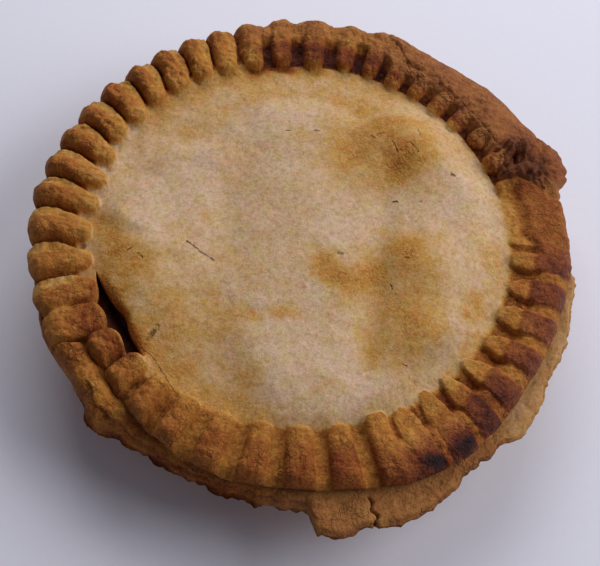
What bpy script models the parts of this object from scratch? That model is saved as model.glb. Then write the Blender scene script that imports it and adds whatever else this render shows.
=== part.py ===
"""Meat and potato pie: a shortcrust case, its filling and a crimped, domed lid.

Units are metres, +Z is up, and the origin is the centre of the flat base.
Angles are degrees counter-clockwise from +X, seen from above.
"""
import math

import bmesh
import bpy
from mathutils import Vector, noise

MM = 0.001
GAP = 0.5 * MM              # air between two pieces that lie against each other

# Whole pie
RIM_RADIUS = 100 * MM       # middle of the plate-like rim to the outer ends of the crimps
TIP_RADIUS = 76.2 * MM      # inner tips of the crimps
FLANGE_TOP = 31 * MM        # height of the case's rim, on which the lid lies

# Case
WALL = 4 * MM
BASE_RADIUS = 69 * MM
FLANGE_THICKNESS = 3.6 * MM
FLANGE_START = 77.5 * MM    # where the bowl's wall turns out into the rim
CASE_STEPS = 180
# Inside of the bowl as (height, share of the rim's radius)
BOWL = ((WALL, 0.62), (6 * MM, 0.66), (16 * MM, 0.70), (FLANGE_TOP - 1.5 * MM, 0.752))

# Lid
RIM_FLOOR = 35.2 * MM       # height of the grooves between the crimps
PLATEAU = 38.8 * MM         # height of the lid's raised middle
MOAT = 34.6 * MM            # height of the lid just inside the crimps
LID_THICKNESS = 3.6 * MM
ROLL_HEIGHT = 5.2 * MM      # a crimp above its grooves
COLUMNS_PER_CRIMP = 6
FILLING_STEPS = 72

# Crimps, laid out clockwise: each run starts at an angle and holds that many crimps
CRIMP_RUNS = ((204.5, 3), (180.9, 5), (142.0, 3), (119.4, 4), (83.4, 6), (37.9, 2),
              (20.7, 4), (-9.7, 3), (-36.6, 4), (-65.9, 5), (-113.9, 5))
CRIMP_COUNT = sum(count for _, count in CRIMP_RUNS)
CRIMP_SEED = 5

# Outlines as (angle, share of the rim's radius)
LID_EDGE = ((0, 1.000), (13, 1.000), (19, 0.940), (24, 0.840), (30, 0.860), (45, 0.865),
            (58, 0.875), (65, 0.885), (77, 1.000), (95, 1.008), (115, 0.995), (135, 0.995),
            (160, 1.000), (178, 1.008), (200, 1.000), (213, 1.000), (217.5, 0.865),
            (222, 0.878), (228, 0.900), (235, 0.925), (243, 0.945), (252, 0.968), (262, 0.980),
            (270, 0.978), (280, 0.984), (289, 0.998), (298, 1.022), (308, 1.024), (316, 1.008),
            (330, 0.985), (348, 0.985))
FLANGE_EDGE = ((4, 0.985), (14, 0.985), (19, 1.020), (22, 1.072), (24.5, 1.093), (27, 1.092),
               (30, 1.080), (33.5, 1.060), (38.5, 1.038), (44, 1.042), (48, 1.042), (53, 1.028),
               (62, 1.016), (71, 1.026), (76, 1.010), (82, 0.975), (120, 0.970), (160, 0.975), (200, 0.985), (211, 1.004),
               (221, 0.992), (227, 1.006), (231, 1.030), (238, 0.998), (248, 0.990),
               (258, 1.000), (268, 1.012), (276.5, 1.026), (278.5, 1.112), (282, 1.128),
               (287, 1.110), (292, 1.118), (298, 1.104), (304, 1.082), (309, 1.048),
               (316, 1.050), (322, 1.068), (327, 1.056), (334, 1.034), (346, 1.028),
               (356, 1.022))
# Where the case's rim is folded up outside the lid, as (angle, height of the fold)
FOLD_HEIGHT = ((16, 0.0), (20, 8.0), (24, 9.6), (30, 9.4), (38, 9.2), (70, 9.2), (75, 6.5),
               (79, 0.0), (212, 0.0), (217, 8.0), (220, 7.2), (228, 6.6), (234, 4.8),
               (240, 0.0))
STEEP_START, STEEP_END = 16, 80    # this fold stands up against the lid's edge
SAG_START, SAG_END = 232, 277      # the rim droops here
FLANGE_SAG = 3.2 * MM
LUMP_START, LUMP_END = 18, 33      # torn, crumbly end of the fold
RAGGED_START, RAGGED_END = 228, 362
ROLLS_START, ROLLS_END = 110, 207  # rolls here lean towards the next one at their outer ends
BLOCKS_START, BLOCKS_END = 300, 358    # crimps here are square blocks with a crease across
BAND_START, BAND_END = 4, 20       # a plain raised band takes the place of the crimps here
MERGED_START, MERGED_END = 296, 312    # the inner halves of these crimps melt into the lid

# Crimps as (angle, value): half width in half pitches, squareness, how much of the groove is
# filled at the outer ends, height as a share of ROLL_HEIGHT, and drop of the outer end
HALF_WIDTH = ((2, 0.76), (24, 0.66), (74, 0.66), (98, 0.66), (106, 0.72), (118, 0.88),
              (200, 0.90), (208, 0.97), (216, 0.94), (222, 0.90), (238, 0.86), (246, 0.68),
              (290, 0.68), (298, 0.82), (308, 0.82), (316, 0.72), (352, 0.74))
SQUARENESS = ((20, 2.0), (200, 2.3), (209, 4.5), (216, 3.2), (224, 2.4), (245, 3.2),
              (292, 3.2), (312, 4.0), (355, 4.0))
FILLED = ((0, 1.0), (71, 1.0), (80, 0.88), (106, 0.76), (116, 0.35), (200, 0.35), (208, 0.90),
          (216, 0.65), (224, 0.32), (244, 0.05), (290, 0.10), (300, 0.85), (312, 0.80),
          (320, 0.72), (346, 0.72), (356, 0.90))
CRIMP_HEIGHT = ((2, 0.55), (8, 0.42), (17, 0.42), (26, 0.95), (80, 0.95), (120, 1.05),
                (190, 1.05), (210, 0.85), (222, 1.08), (238, 0.95), (246, 0.78), (290, 0.70),
                (300, 0.66), (312, 0.80), (345, 0.80), (357, 0.62))
END_DROP = ((5, 0.55), (25, 0.0), (66, 0.0), (76, 0.45), (88, 0.60), (120, 0.75), (200, 0.70),
            (212, 0.45), (240, 0.30), (300, 0.35), (350, 0.45))
TIP_SHIFT = 2.0             # degrees by which the leaning rolls' tips are turned clockwise
CRIMP_LEAN = 2.2            # degrees from a leaning roll's inner tip to its outer end

# Swellings of the lid: x, y, long and short half widths, turn, height; shares of RIM_RADIUS
SWELLINGS = ((0.39, 0.40, 0.18, 0.14, -35, 0.053),
             (0.46, -0.11, 0.14, 0.13, 0, 0.036),
             (0.47, -0.37, 0.14, 0.13, 30, 0.038),
             (-0.55, -0.27, 0.26, 0.14, -50, 0.036),
             (-0.48, 0.16, 0.26, 0.22, 20, -0.016),
             (-0.28, 0.09, 0.40, 0.08, 88, -0.012),
             (-0.02, 0.08, 0.38, 0.17, 88, 0.016),
             (0.28, -0.12, 0.40, 0.06, 88, -0.018),
             (0.06, -0.60, 0.20, 0.14, 0, 0.010))
# Brink of the lid's raised middle, as (angle, share of the rim's radius), and where it ends below
PLATEAU_EDGE = ((20, 0.62), (58, 0.60), (73, 0.47), (92, 0.50), (108, 0.52), (121, 0.49),
                (134, 0.44), (160, 0.56), (180, 0.66), (192, 0.50), (205, 0.38), (225, 0.33),
                (240, 0.37), (278, 0.66), (290, 0.68), (310, 0.62))
SLOPE_END = 0.80
BRINK_WIDTH = 0.11
SHALLOW_START, SHALLOW_END = 262, 306    # the lid drops less towards the crimps here

# Steam split between the lid's edge and the crimps
SPLIT_START, SPLIT_END = 200, 230
SPLIT_RADIUS = 76.4 * MM
SPLIT_WIDTH = 6.2 * MM
SPLIT_POCKET = 6 * MM       # how far the filling has sunk under the split

# Crack through the broken rim of the case
CRACK_ANGLE = 288.7
CRACK_WIDTH = 1.3 * MM
CRACK_START = 100.5 * MM


def smooth(value):
    """Smoothstep of a value held between 0 and 1."""
    value = min(max(value, 0.0), 1.0)
    return value * value * (3 - 2 * value)


def along(stations, angle):
    """Value at an angle of a closed line of (angle, value) stations, eased between them."""
    angle = (angle - stations[0][0]) % 360 + stations[0][0]
    for (start, low), (end, high) in zip(stations, stations[1:]):
        if angle <= end:
            return low + (high - low) * smooth((angle - start) / (end - start))
    start, low = stations[-1]
    end, high = stations[0][0] + 360, stations[0][1]
    return low + (high - low) * smooth((angle - start) / (end - start))


def within(angle, start, end, ease=5):
    """1 inside an arc, 0 outside it, eased over some degrees at its ends."""
    middle = (start + end) / 2
    away = abs((angle - middle + 180) % 360 - 180)
    return 1 - smooth((away - (end - start) / 2 + ease / 2) / ease)


def roughness(angle, radius, height, size, seed):
    """Even noise of about -1 to 1 at a place on the pie, with the given feature size."""
    turn = math.radians(angle)
    place = Vector((radius * math.cos(turn), radius * math.sin(turn), height))
    return noise.noise(place / size + Vector((seed * 7.1, seed * 3.3, seed * 1.7)))


def crimp_angles():
    """Angles of the crimps' middles, going clockwise, with the first one again at the end."""
    starts = [start for start, _ in CRIMP_RUNS] + [CRIMP_RUNS[0][0] - 360]
    angles = []
    for (start, count), end in zip(CRIMP_RUNS, starts[1:]):
        angles += [start + (end - start) * step / count for step in range(count)]
    return angles + [starts[-1]]


CRIMP_ANGLES = crimp_angles()


def crimp_at(turns):
    """Angle of a place given as a count of crimps, clockwise from the first."""
    turns = turns % CRIMP_COUNT
    before = int(turns)
    return CRIMP_ANGLES[before] + (CRIMP_ANGLES[before + 1] - CRIMP_ANGLES[before]) * (turns - before)


def crimp_variation(turns, seed):
    """A value of -1 to 1 that belongs to each crimp, eased from one crimp to the next."""
    before = math.floor(turns)
    near, far = (noise.cell(Vector((crimp % CRIMP_COUNT + 0.5, seed + 0.5, CRIMP_SEED + 0.5)))
                 for crimp in (before, before + 1))
    return (near + (far - near) * smooth((turns - before - 0.3) / 0.4)) * 2 - 1


def lid_dome(x, y):
    """Height of the lid's upper side inside the crimps."""
    angle = math.degrees(math.atan2(y, x)) % 360
    edge = along(PLATEAU_EDGE, angle)
    beyond = math.hypot(x, y) / RIM_RADIUS - edge
    drop = 0.45 * smooth(beyond / BRINK_WIDTH) + 0.55 * smooth(beyond / (SLOPE_END - edge))
    drop *= 1 - 0.6 * within(angle, SHALLOW_START, SHALLOW_END, 24)
    height = PLATEAU - (PLATEAU - MOAT) * drop
    for centre_x, centre_y, length, width, turn, rise in SWELLINGS:
        turn = math.radians(turn)
        across_x = x / RIM_RADIUS - centre_x
        across_y = y / RIM_RADIUS - centre_y
        u = (across_x * math.cos(turn) + across_y * math.sin(turn)) / length
        v = (across_y * math.cos(turn) - across_x * math.sin(turn)) / width
        height += rise * RIM_RADIUS * math.exp(-(u * u + v * v))
    return height


def bowl_radius(height):
    """Inside radius of the case's bowl at a height."""
    return along_line(BOWL, height) * RIM_RADIUS


def along_line(stations, place):
    """Value at a place on an open line of (place, value) stations."""
    for (start, low), (end, high) in zip(stations, stations[1:]):
        if place <= end:
            return low + (high - low) * max(0.0, (place - start) / (end - start))
    return stations[-1][1]


def lid_underside(radius, x, y):
    """Height of the lid's lower side, flat where it lies on the case's rim."""
    seat = FLANGE_TOP + GAP
    inside = 1 - smooth((radius - 0.60 * RIM_RADIUS) / (0.19 * RIM_RADIUS))
    return seat + (lid_dome(x, y) - LID_THICKNESS - seat) * inside


def crimp_shape(turns, share, angle, span):
    """Height of a crimp above the rim's grooves.

    share runs from its inner tip to its end, span is that length, and turns counts crimps.
    """
    place = (turns - round(turns)) * 2
    inward = share * span
    rolls = within(angle, ROLLS_START, ROLLS_END, 12)
    blocks = within(angle, BLOCKS_START, BLOCKS_END, 8)
    merged = within(angle, MERGED_START, MERGED_END, 8)
    band = within(angle, BAND_START, BAND_END, 5)
    start = 0.9 * MM * crimp_variation(turns, 1)
    tip = 1 - (1 - min(max((inward - start) / (2.8 * MM), 0.0), 1.0)) ** 2
    square = along(SQUARENESS, angle)
    across = max(0.0, 1 - abs(place / along(HALF_WIDTH, angle)) ** square) ** (1 / square)
    # towards its outer end a roll leans: a steep side, then a long slope to the next roll
    lean = min(max((place + 0.95) / 1.9, 0.0), 1.0)
    steep = math.sqrt(1 - (1 - min(lean / 0.30, 1.0)) ** 2)
    slope = 1 - 0.42 * smooth((lean - 0.42) / 0.28) - 0.14 * smooth((lean - 0.2) / 0.8)
    leant = rolls * smooth((inward - 3 * MM) / (8 * MM))
    across += (steep * slope * smooth((1 - lean) / 0.07) - across) * leant
    across *= 1 - band
    hollow = (9 - 4 * within(angle, STEEP_START, STEEP_END, 10) - 4 * band) * MM
    filled = along(FILLED, angle) * smooth((inward - hollow) / (0.5 * hollow)) * (1 - leant)
    end = 1 - along(END_DROP, angle) * max(0.0, (share - 0.80) / 0.20) ** 2
    height = ROLL_HEIGHT * along(CRIMP_HEIGHT, angle) * (1 + 0.12 * crimp_variation(turns, 2))
    height *= 1 - 0.25 * rolls * (1 - smooth(share / 0.55))
    height *= 1 - 0.30 * blocks * (1 - smooth((share - 0.34) / 0.10))
    height *= 1 - 0.55 * merged * (1 - smooth((share - 0.15) / 0.45))
    return height * max(across * math.sqrt(tip), filled) * end


def lid_top(turns, share, angle, span, x, y):
    """Height of the lid's upper side."""
    dome = lid_dome(x, y)
    if share <= -0.15:
        return dome
    level = within(angle, STEEP_START, STEEP_END, 6)
    rim = RIM_FLOOR - 2.4 * MM * max(0.0, (share - 0.75) / 0.25) ** 2 * (1 - level)
    floor = dome + (rim - dome) * smooth((share + 0.15) / 0.35)
    return floor + crimp_shape(turns, share, angle, span)


def new_object(name, mesh, collection, material):
    """An object with one material, in the collection."""
    thing = bpy.data.objects.new(name, mesh)
    collection.objects.link(thing)
    mesh.materials.clear()
    mesh.materials.append(material)
    return thing


def turned_blank(name, profile, steps):
    """Mesh of a profile of (radius, height) turned round Z, its outer side from the top down."""
    outline = bpy.data.meshes.new(name + "_profile")
    outline.from_pydata([(radius, 0, height) for radius, height in profile],
                        [(place, place + 1) for place in range(len(profile) - 1)], [])
    turned = bpy.data.objects.new(name + "_blank", outline)
    bpy.context.scene.collection.objects.link(turned)
    screw = turned.modifiers.new("turn", "SCREW")
    screw.steps = steps
    screw.render_steps = steps
    screw.use_merge_vertices = True
    screw.merge_threshold = 0.00001
    graph = bpy.context.evaluated_depsgraph_get()
    mesh = bpy.data.meshes.new_from_object(turned.evaluated_get(graph))
    mesh.name = name
    bpy.data.objects.remove(turned)
    bpy.data.meshes.remove(outline)
    return mesh


def press(mesh, shape):
    """Moves each vertex of a blank to where shape puts its angle, radius and height."""
    for vertex in mesh.vertices:
        x, y, z = vertex.co
        vertex.co = shape(math.degrees(math.atan2(y, x)), math.hypot(x, y), z)
    mesh.update()


def on_circle(angle, radius, height):
    """The point at an angle, radius and height."""
    turn = math.radians(angle)
    return (radius * math.cos(turn), radius * math.sin(turn), height)


def reduce_faces(thing, ratio):
    """Fewer faces where the surface is nearly flat."""
    decimate = thing.modifiers.new("fewer_faces", "DECIMATE")
    decimate.ratio = ratio
    decimate.use_collapse_triangulate = True


def cut(thing, cutter):
    """Boolean difference that stays on the object."""
    boolean = thing.modifiers.new(cutter.name, "BOOLEAN")
    boolean.operation = "DIFFERENCE"
    boolean.solver = "EXACT"
    boolean.object = cutter


def make_lid(collection, material):
    """The lid: a turned disc pressed into crimps and swellings."""
    inner = (0.14, 0.28, 0.40, 0.51, 0.60, 0.68, 0.73)
    band = (0.0, 0.07, 0.16, 0.30, 0.50, 0.70, 0.84, 0.93, 1.0)
    tip = TIP_RADIUS / RIM_RADIUS
    rings = list(inner) + [tip + share * (1 - tip) for share in band]
    under = (0.97, 0.80, 0.74, 0.68, 0.60, 0.40, 0.20)
    blank = [(0, WALL)] + [(ring * RIM_RADIUS, WALL) for ring in rings]
    blank += [(ring * RIM_RADIUS, 0) for ring in under] + [(0, 0)]
    mesh = turned_blank("lid", blank, CRIMP_COUNT * COLUMNS_PER_CRIMP)

    def shape(angle, radius, height):
        turns = -angle / 360 * CRIMP_COUNT
        angle = crimp_at(turns)
        share = (radius - TIP_RADIUS) / (RIM_RADIUS - TIP_RADIUS)
        lean = CRIMP_LEAN * within(angle, ROLLS_START, ROLLS_END, 40) * smooth(share / 0.7)
        angle -= lean + TIP_SHIFT * within(angle, ROLLS_START, 190, 24)
        scallop = (0.4 + 1.8 * within(angle, 80, 225, 10)) * MM * (2 * abs(turns - round(turns))) ** 2
        span = along(LID_EDGE, angle) * RIM_RADIUS - scallop * smooth(share) - TIP_RADIUS
        if share > 0:
            radius = TIP_RADIUS + share * span
        x, y, _ = on_circle(angle, radius, 0)
        if height > WALL / 2:
            return (x, y, lid_top(turns, share, angle, span, x, y))
        return (x, y, lid_underside(radius, x, y))

    press(mesh, shape)
    return new_object("lid", mesh, collection, material)


def make_case(collection, material):
    """The case: a turned shell with a ragged rim that is folded up in two places."""
    rim = RIM_RADIUS
    exposed = 0.80 * rim
    fold_rings = (0.0, 0.03, 0.12, 0.28, 0.5, 0.72, 0.9, 1.0)
    blank = [(0, WALL), (0.36 * rim, WALL)]
    blank += [(share * rim, height) for height, share in BOWL]
    blank += [(FLANGE_START, FLANGE_TOP)]
    blank += [(exposed + share * (rim - exposed), FLANGE_TOP) for share in fold_rings]
    blank += [(rim, FLANGE_TOP - FLANGE_THICKNESS), (0.88 * rim, FLANGE_TOP - FLANGE_THICKNESS)]
    blank += [(0.812 * rim, FLANGE_TOP - FLANGE_THICKNESS - 1.2 * MM), (0.797 * rim, 24 * MM),
              (0.765 * rim, 14 * MM), (0.733 * rim, 4 * MM), (0.717 * rim, 1.2 * MM)]
    blank += [(BASE_RADIUS, 0), (0.35 * rim, 0), (0, 0)]
    mesh = turned_blank("case", blank, CASE_STEPS)

    def shape(angle, radius, height):
        angle = angle % 360
        below = height < FLANGE_TOP - FLANGE_THICKNESS - 0.1 * MM
        if below or radius <= FLANGE_START + 0.1 * MM:
            return on_circle(angle, radius, height)
        ragged = within(angle, RAGGED_START, RAGGED_END, 6)
        lump = within(angle, LUMP_START, LUMP_END, 4)
        steep = within(angle, STEEP_START, STEEP_END, 3)
        edge = along(FLANGE_EDGE, angle) * rim
        edge += ragged * 0.9 * MM * roughness(angle, rim, 0, 3.5 * MM, 1)
        edge += lump * 1.6 * MM * roughness(angle, rim, 0, 4 * MM, 2)
        lid_edge = max(along(LID_EDGE, angle + nearby) for nearby in (-1.5, 0, 1.5)) * rim + GAP
        room = edge - lid_edge
        fold = along(FOLD_HEIGHT, angle) * MM * smooth(room / (3 * MM) - 1)
        foot = min(lid_edge, edge - 5 * MM)
        share = (radius - exposed) / (rim - exposed)
        droop = 0.16 * max(0.0, edge - 1.04 * rim) * share
        droop += FLANGE_SAG * within(angle, SAG_START, SAG_END, 5) * max(0.0, share) ** 1.3
        if height > FLANGE_TOP - 0.1 * MM:
            arch = max(0.0, 1 - abs(2 * share - 1) ** 2.6) ** 0.6
            band = (share > 0.01) * (1 - 0.92 * max(0.0, share) ** 2.6)
            arch += (band - arch) * steep
            height = FLANGE_TOP + fold * arch
            radius = foot + share * (edge - foot)
            crumble = ragged * 0.3 * MM * smooth(share * 3) + lump * 1.3 * MM * arch * (fold > 0)
            height += crumble * roughness(angle, radius, 0, 4.5 * MM, 3)
            rounding = 0.9 * MM * smooth((share - 0.8) / 0.2)
            return on_circle(angle, radius, height - droop - rounding)
        if share > 0.9:
            layered = 0.8 * MM * (1 + roughness(angle, rim, 0, 5 * MM, 4))
            return on_circle(angle, edge - layered, height - droop)
        return on_circle(angle, radius, height)

    press(mesh, shape)
    return new_object("case", mesh, collection, material)


def make_filling(collection, material):
    """The filling: one solid that fills the case up to the lid, sunk under the split."""
    rim = RIM_RADIUS
    side = 0.735 * rim
    crown = 30 * MM
    blank = [(0, crown)] + [(ring * rim, crown) for ring in (0.20, 0.40, 0.60, 0.68)]
    blank += [(side, crown)]
    blank += [(bowl_radius(height) - GAP, height) for height in (16 * MM, 6 * MM + GAP)]
    blank += [(bowl_radius(WALL) - GAP, WALL + GAP), (0.36 * rim, WALL + GAP), (0, WALL + GAP)]
    mesh = turned_blank("filling", blank, FILLING_STEPS)

    def shape(angle, radius, height):
        x, y, _ = on_circle(angle, radius, 0)
        if height < crown - 0.1 * MM:
            return (x, y, height)
        pocket = within(angle, SPLIT_START, SPLIT_END, 8) * smooth((radius / rim - 0.6) / 0.12)
        lumps = 0.7 * MM * roughness(angle, radius, 0, 9 * MM, 5) - 0.7 * MM
        level = lid_underside(radius, x, y) - GAP + lumps - SPLIT_POCKET * pocket
        if radius < side - 0.1 * MM:
            return (x, y, level)
        level = min(level, FLANGE_TOP - 2.5 * MM)
        return on_circle(angle, bowl_radius(level) - GAP, level)

    press(mesh, shape)
    return new_object("filling", mesh, collection, material)


def make_split_cutter(collection):
    """A curved spindle that opens the split; its width swells from nothing and back."""
    stations = 24
    low = FLANGE_TOP - 2 * MM
    high = PLATEAU + 12 * MM
    cutter = bmesh.new()
    loops = []
    for station in range(stations + 1):
        share = station / stations
        angle = SPLIT_START + (SPLIT_END - SPLIT_START) * share
        half = 0.15 * MM + SPLIT_WIDTH / 2 * math.sin(math.pi * share) ** 0.8
        middle = SPLIT_RADIUS - 1.6 * MM * smooth(share)
        corners = ((middle - half, low), (middle + half, low),
                   (middle + half, high), (middle - half, high))
        loops.append([cutter.verts.new(on_circle(angle, *corner)) for corner in corners])
    for before, after in zip(loops, loops[1:]):
        for side in range(4):
            cutter.faces.new((before[side], before[side - 3], after[side - 3], after[side]))
    cutter.faces.new(reversed(loops[0]))
    cutter.faces.new(loops[-1])
    bmesh.ops.recalc_face_normals(cutter, faces=cutter.faces)
    mesh = bpy.data.meshes.new("split_cutter")
    cutter.to_mesh(mesh)
    cutter.free()
    return place_cutter("split_cutter", mesh, collection)


def make_crack_cutter(collection):
    """A thin wedge that cracks the case's rim from its edge inward."""
    cutter = bmesh.new()
    outer = CRACK_START + 20 * MM
    points = ((CRACK_START, 0), (outer, -CRACK_WIDTH), (outer, CRACK_WIDTH))
    face = cutter.faces.new([cutter.verts.new((x, y, FLANGE_TOP - 12 * MM)) for x, y in points])
    raised = bmesh.ops.extrude_face_region(cutter, geom=[face])
    tops = [part for part in raised["geom"] if isinstance(part, bmesh.types.BMVert)]
    bmesh.ops.translate(cutter, vec=(0, 0, 20 * MM), verts=tops)
    bmesh.ops.recalc_face_normals(cutter, faces=cutter.faces)
    mesh = bpy.data.meshes.new("crack_cutter")
    cutter.to_mesh(mesh)
    cutter.free()
    thing = place_cutter("crack_cutter", mesh, collection)
    thing.rotation_euler.z = math.radians(CRACK_ANGLE)
    return thing


def place_cutter(name, mesh, collection):
    """A cutter object, drawn as wire and left out of renders."""
    thing = bpy.data.objects.new(name, mesh)
    thing.display_type = "WIRE"
    thing.hide_render = True
    collection.objects.link(thing)
    return thing


def pastry(name, colour, roughness_value):
    """A Principled material of one colour."""
    material = bpy.data.materials.new(name)
    material.use_nodes = True
    shader = material.node_tree.nodes["Principled BSDF"]
    shader.inputs["Base Color"].default_value = (*colour, 1)
    shader.inputs["Roughness"].default_value = roughness_value
    shader.inputs["Metallic"].default_value = 0
    material.diffuse_color = (*colour, 1)
    return material


def main():
    for thing in list(bpy.data.objects):
        bpy.data.objects.remove(thing, do_unlink=True)
    pie = bpy.data.collections.new("meat_and_potato_pie")
    cutters = bpy.data.collections.new("cutters")
    bpy.context.scene.collection.children.link(pie)
    bpy.context.scene.collection.children.link(cutters)

    case = make_case(pie, pastry("case_pastry", (0.42, 0.20, 0.07), 0.7))
    make_filling(pie, pastry("meat_and_potato", (0.12, 0.06, 0.035), 0.5))
    lid = make_lid(pie, pastry("lid_pastry", (0.66, 0.45, 0.22), 0.75))

    cut(lid, make_split_cutter(cutters))
    cut(case, make_crack_cutter(cutters))
    reduce_faces(lid, 0.42)
    reduce_faces(case, 0.45)


main()
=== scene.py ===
"""Looks of the meat and potato pie: finely modelled pastry, filling, light and camera.

Sizes of the pie are in millimetres here, and in metres in its meshes and materials. The light and
the camera are in metres. +Z is up, and angles are degrees counter-clockwise from +X.
"""
import math

import bmesh
import bpy
import numpy as np
from mathutils import Matrix, Vector


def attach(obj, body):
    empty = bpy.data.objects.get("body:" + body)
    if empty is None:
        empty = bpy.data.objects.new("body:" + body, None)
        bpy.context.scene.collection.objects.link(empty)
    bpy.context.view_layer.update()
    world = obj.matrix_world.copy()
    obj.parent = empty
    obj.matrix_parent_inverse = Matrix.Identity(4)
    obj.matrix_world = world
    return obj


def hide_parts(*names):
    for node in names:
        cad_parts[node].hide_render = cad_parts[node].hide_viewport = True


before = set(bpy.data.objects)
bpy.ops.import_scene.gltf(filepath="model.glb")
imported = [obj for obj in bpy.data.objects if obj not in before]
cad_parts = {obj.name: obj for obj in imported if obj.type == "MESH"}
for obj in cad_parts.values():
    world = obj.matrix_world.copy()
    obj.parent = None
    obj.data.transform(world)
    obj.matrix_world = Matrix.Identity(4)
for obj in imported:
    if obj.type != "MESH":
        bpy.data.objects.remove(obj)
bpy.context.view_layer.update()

MM = 0.001  # in metres
GAP = 0.15  # between two pieces

# Sizes and places of the CAD model
RIM_RADIUS = 100
TIP_RADIUS = 76.2
FLANGE_TOP = 31
WALL = 4
BASE_RADIUS = 69
FLANGE_THICKNESS = 3.6
FLANGE_START = 77.5
SIDE_FOOT, SIDE_SLOPE = 73.3, 0.32
FOOT = ((72.6, 2.4), (71.6, 1.1), (70.4, 0.3))
BOWL = ((WALL, 62), (6, 66), (16, 70), (FLANGE_TOP - 1.5, 75.2))
RIM_FLOOR = 35.2
PLATEAU = 38.8
MOAT = 34.6
LID_THICKNESS = 3.6
ROLL_HEIGHT = 5.2
CRIMP_RUNS = (
    (204.5, 3), (180.9, 5), (142, 3), (119.4, 4), (83.4, 6), (37.9, 2), (20.7, 4), (-9.7, 3),
    (-36.6, 4), (-65.9, 5), (-113.9, 5))
CRIMP_COUNT = sum(count for _, count in CRIMP_RUNS)
# Stretches of the rim, from one angle to another
ROLLS = 110, 207          # crimps that lean over
BLOCKS = 300, 358         # square, well browned crimps
JOINED = 20, 72           # crimps that run into the fold
BAND = 4, 20              # rim pressed flat, without crimps
LOW_CRIMPS = 296, 312     # two crimps pressed nearly flat
FLAKY = 226, 278          # broken rim that shows two layers
LID_EDGE = (
    (0, 100), (15, 100), (19, 95), (24, 84), (30, 86), (45, 86.5), (58, 87.5), (65, 88.5),
    (76, 100), (95, 100.8), (115, 99.5), (135, 99.5), (160, 100), (178, 100.8), (200, 100),
    (214.5, 100), (217.5, 89.5), (222, 89.5), (228, 90.5), (235, 92.5), (243, 94.5), (252, 96.8),
    (262, 98), (270, 97.8), (280, 98.4), (289, 99.8), (298, 102.2), (308, 102.4), (316, 100.8),
    (330, 98.5), (348, 98.5))
FLANGE_EDGE = (
    (4, 98.5), (14, 98.5), (19, 102), (22, 107.2), (24.5, 109.3), (27, 109.2), (30, 108),
    (33.5, 106), (38.5, 103.8), (44, 104.2), (48, 104.2), (53, 102.8), (62, 101.6), (71, 102.6),
    (76, 101), (82, 97.5), (120, 97), (160, 97.5), (200, 98.5), (211, 100.4), (221, 99.2),
    (227, 100.6), (231, 103), (238, 99.8), (248, 99), (258, 100), (268, 101.2), (276.5, 102.6),
    (278.5, 111.2), (282, 112.8), (287, 111), (292, 111.8), (298, 110.4), (304, 108.2),
    (309, 104.8), (316, 105), (322, 106.8), (327, 105.6), (334, 103.4), (346, 102.8), (356, 102.2))
FOLD_HEIGHT = (
    (17, 0), (20, 8), (24, 9.6), (30, 9.4), (38, 9.2), (72, 9.2), (76, 6.5), (79, 0), (213, 0),
    (216, 8), (219, 7.2), (228, 6.6), (234, 4.8), (240, 0))
FLANGE_SAG = 3.2
CRIMP_SHIFT, CRIMP_LEAN = 2.0, 2.2
SWELLINGS = (
    (39, 40, 18, 14, -35, 5.3), (46, -11, 14, 13, 0, 3.6), (47, -37, 14, 13, 30, 3.8),
    (-55, -27, 26, 14, -50, 4.7), (-48, 16, 26, 22, 20, -1.6), (-28, 9, 40, 8, 88, -1.2),
    (-2, 8, 38, 17, 88, 1.6), (28, -12, 40, 6, 88, -1.8), (6, -60, 20, 14, 0, 1))
PLATEAU_EDGE = (
    (20, 62), (58, 60), (73, 47), (92, 50), (108, 52), (121, 49), (134, 44), (160, 56), (180, 66),
    (192, 50), (205, 38), (225, 33), (240, 37), (278, 66), (290, 68), (310, 62))
SPLIT_START, SPLIT_END = 200, 230
SPLIT_RADIUS = TIP_RADIUS
SPLIT_WIDTH = 6.2
SPLIT_POCKET = 6
CRACK_ANGLE = 288.7
CRACK_START = 100.5
HOLE_ANGLE, HOLE_RADIUS = 27.5, 88.5
HOLE_SIZE, HOLE_DEPTH = 2.4, 4.5

# Fineness of the meshes
LID_COLUMNS = CRIMP_COUNT * 28
CASE_COLUMNS = 1080
FILLING_COLUMNS = 360


# ---------------- helpers on arrays
def smooth(value):
    """Smoothstep of values held between 0 and 1."""
    value = np.clip(value, 0.0, 1.0)
    return value * value * (3 - 2 * value)


def eased(value, start, width):
    """Smoothstep from 0 to 1 of values that go from start to a width beyond it."""
    return smooth((value - start) / width)


def along(stations, angle):
    """Values at angles of a closed line of (angle, value) stations, eased between them."""
    starts = np.array([place for place, _ in stations] + [stations[0][0] + 360.0])
    values = np.array([value for _, value in stations] + [stations[0][1]])
    angle = (angle - starts[0]) % 360 + starts[0]
    before = np.clip(np.searchsorted(starts, angle, side="right") - 1, 0, len(stations) - 1)
    share = (angle - starts[before]) / (starts[before + 1] - starts[before])
    return values[before] + (values[before + 1] - values[before]) * smooth(share)


def within(angle, start, end, ease=5):
    """1 inside an arc, 0 outside it, eased over some degrees at its ends."""
    away = np.abs((angle - (start + end) / 2 + 180) % 360 - 180)
    return 1 - smooth((away - (end - start) / 2 + ease / 2) / ease)


def cell_value(cell, seed):
    """An even random value of 0 to 1 for each whole-number cell."""
    mixed = cell[..., 0] * 73856093 ^ cell[..., 1] * 19349663 ^ cell[..., 2] * 83492791
    mixed = (mixed ^ seed * 2654435761) & 0x7FFFFFFF
    mixed = (mixed ^ mixed >> 13) * 1274126177 & 0x7FFFFFFF
    mixed = (mixed ^ mixed >> 16) * 668265263 & 0x7FFFFFFF
    return (mixed & 0xFFFFFF) / 0xFFFFFF


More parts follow.
